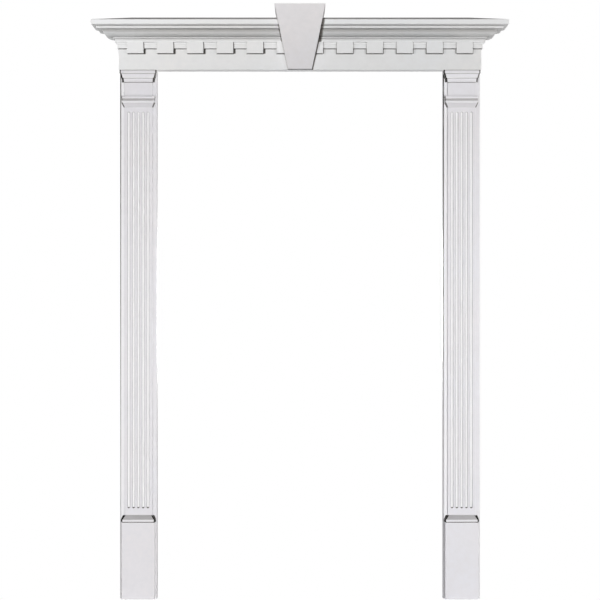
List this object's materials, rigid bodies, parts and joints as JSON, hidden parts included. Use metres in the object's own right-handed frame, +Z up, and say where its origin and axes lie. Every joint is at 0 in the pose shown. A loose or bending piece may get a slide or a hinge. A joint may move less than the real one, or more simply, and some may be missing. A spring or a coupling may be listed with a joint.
{
  "type": "door surround",
  "caption": "Classical door surround in white moulded trim: a dentilled crosshead with keystone on fluted pilasters with capitals and plinths, fixed flat to the wall round a doorway.",
  "frame": {"origin": "fixing point on the flat back of the crosshead, on the doorway's centre line, 100 mm above the crosshead's underside", "axes": "+Z up; +Y square into the wall, so the moulded face looks along -Y; +X to the right as seen from the front; the wall is the plane Y = 0"},
  "size_m": [1.976, 0.2505, 2.8279],
  "materials": {
    "crosshead_primer": "matte white primer on moulded foam",
    "keystone_primer": "matte off-white primer on moulded foam",
    "pilaster_primer": "matte bright white primer on moulded foam"
  },
  "bodies": {
    "root": {"crosshead": "crosshead_primer", "keystone": "keystone_primer", "pilaster_left": "pilaster_primer", "pilaster_right": "pilaster_primer"}
  },
  "joints": []
}
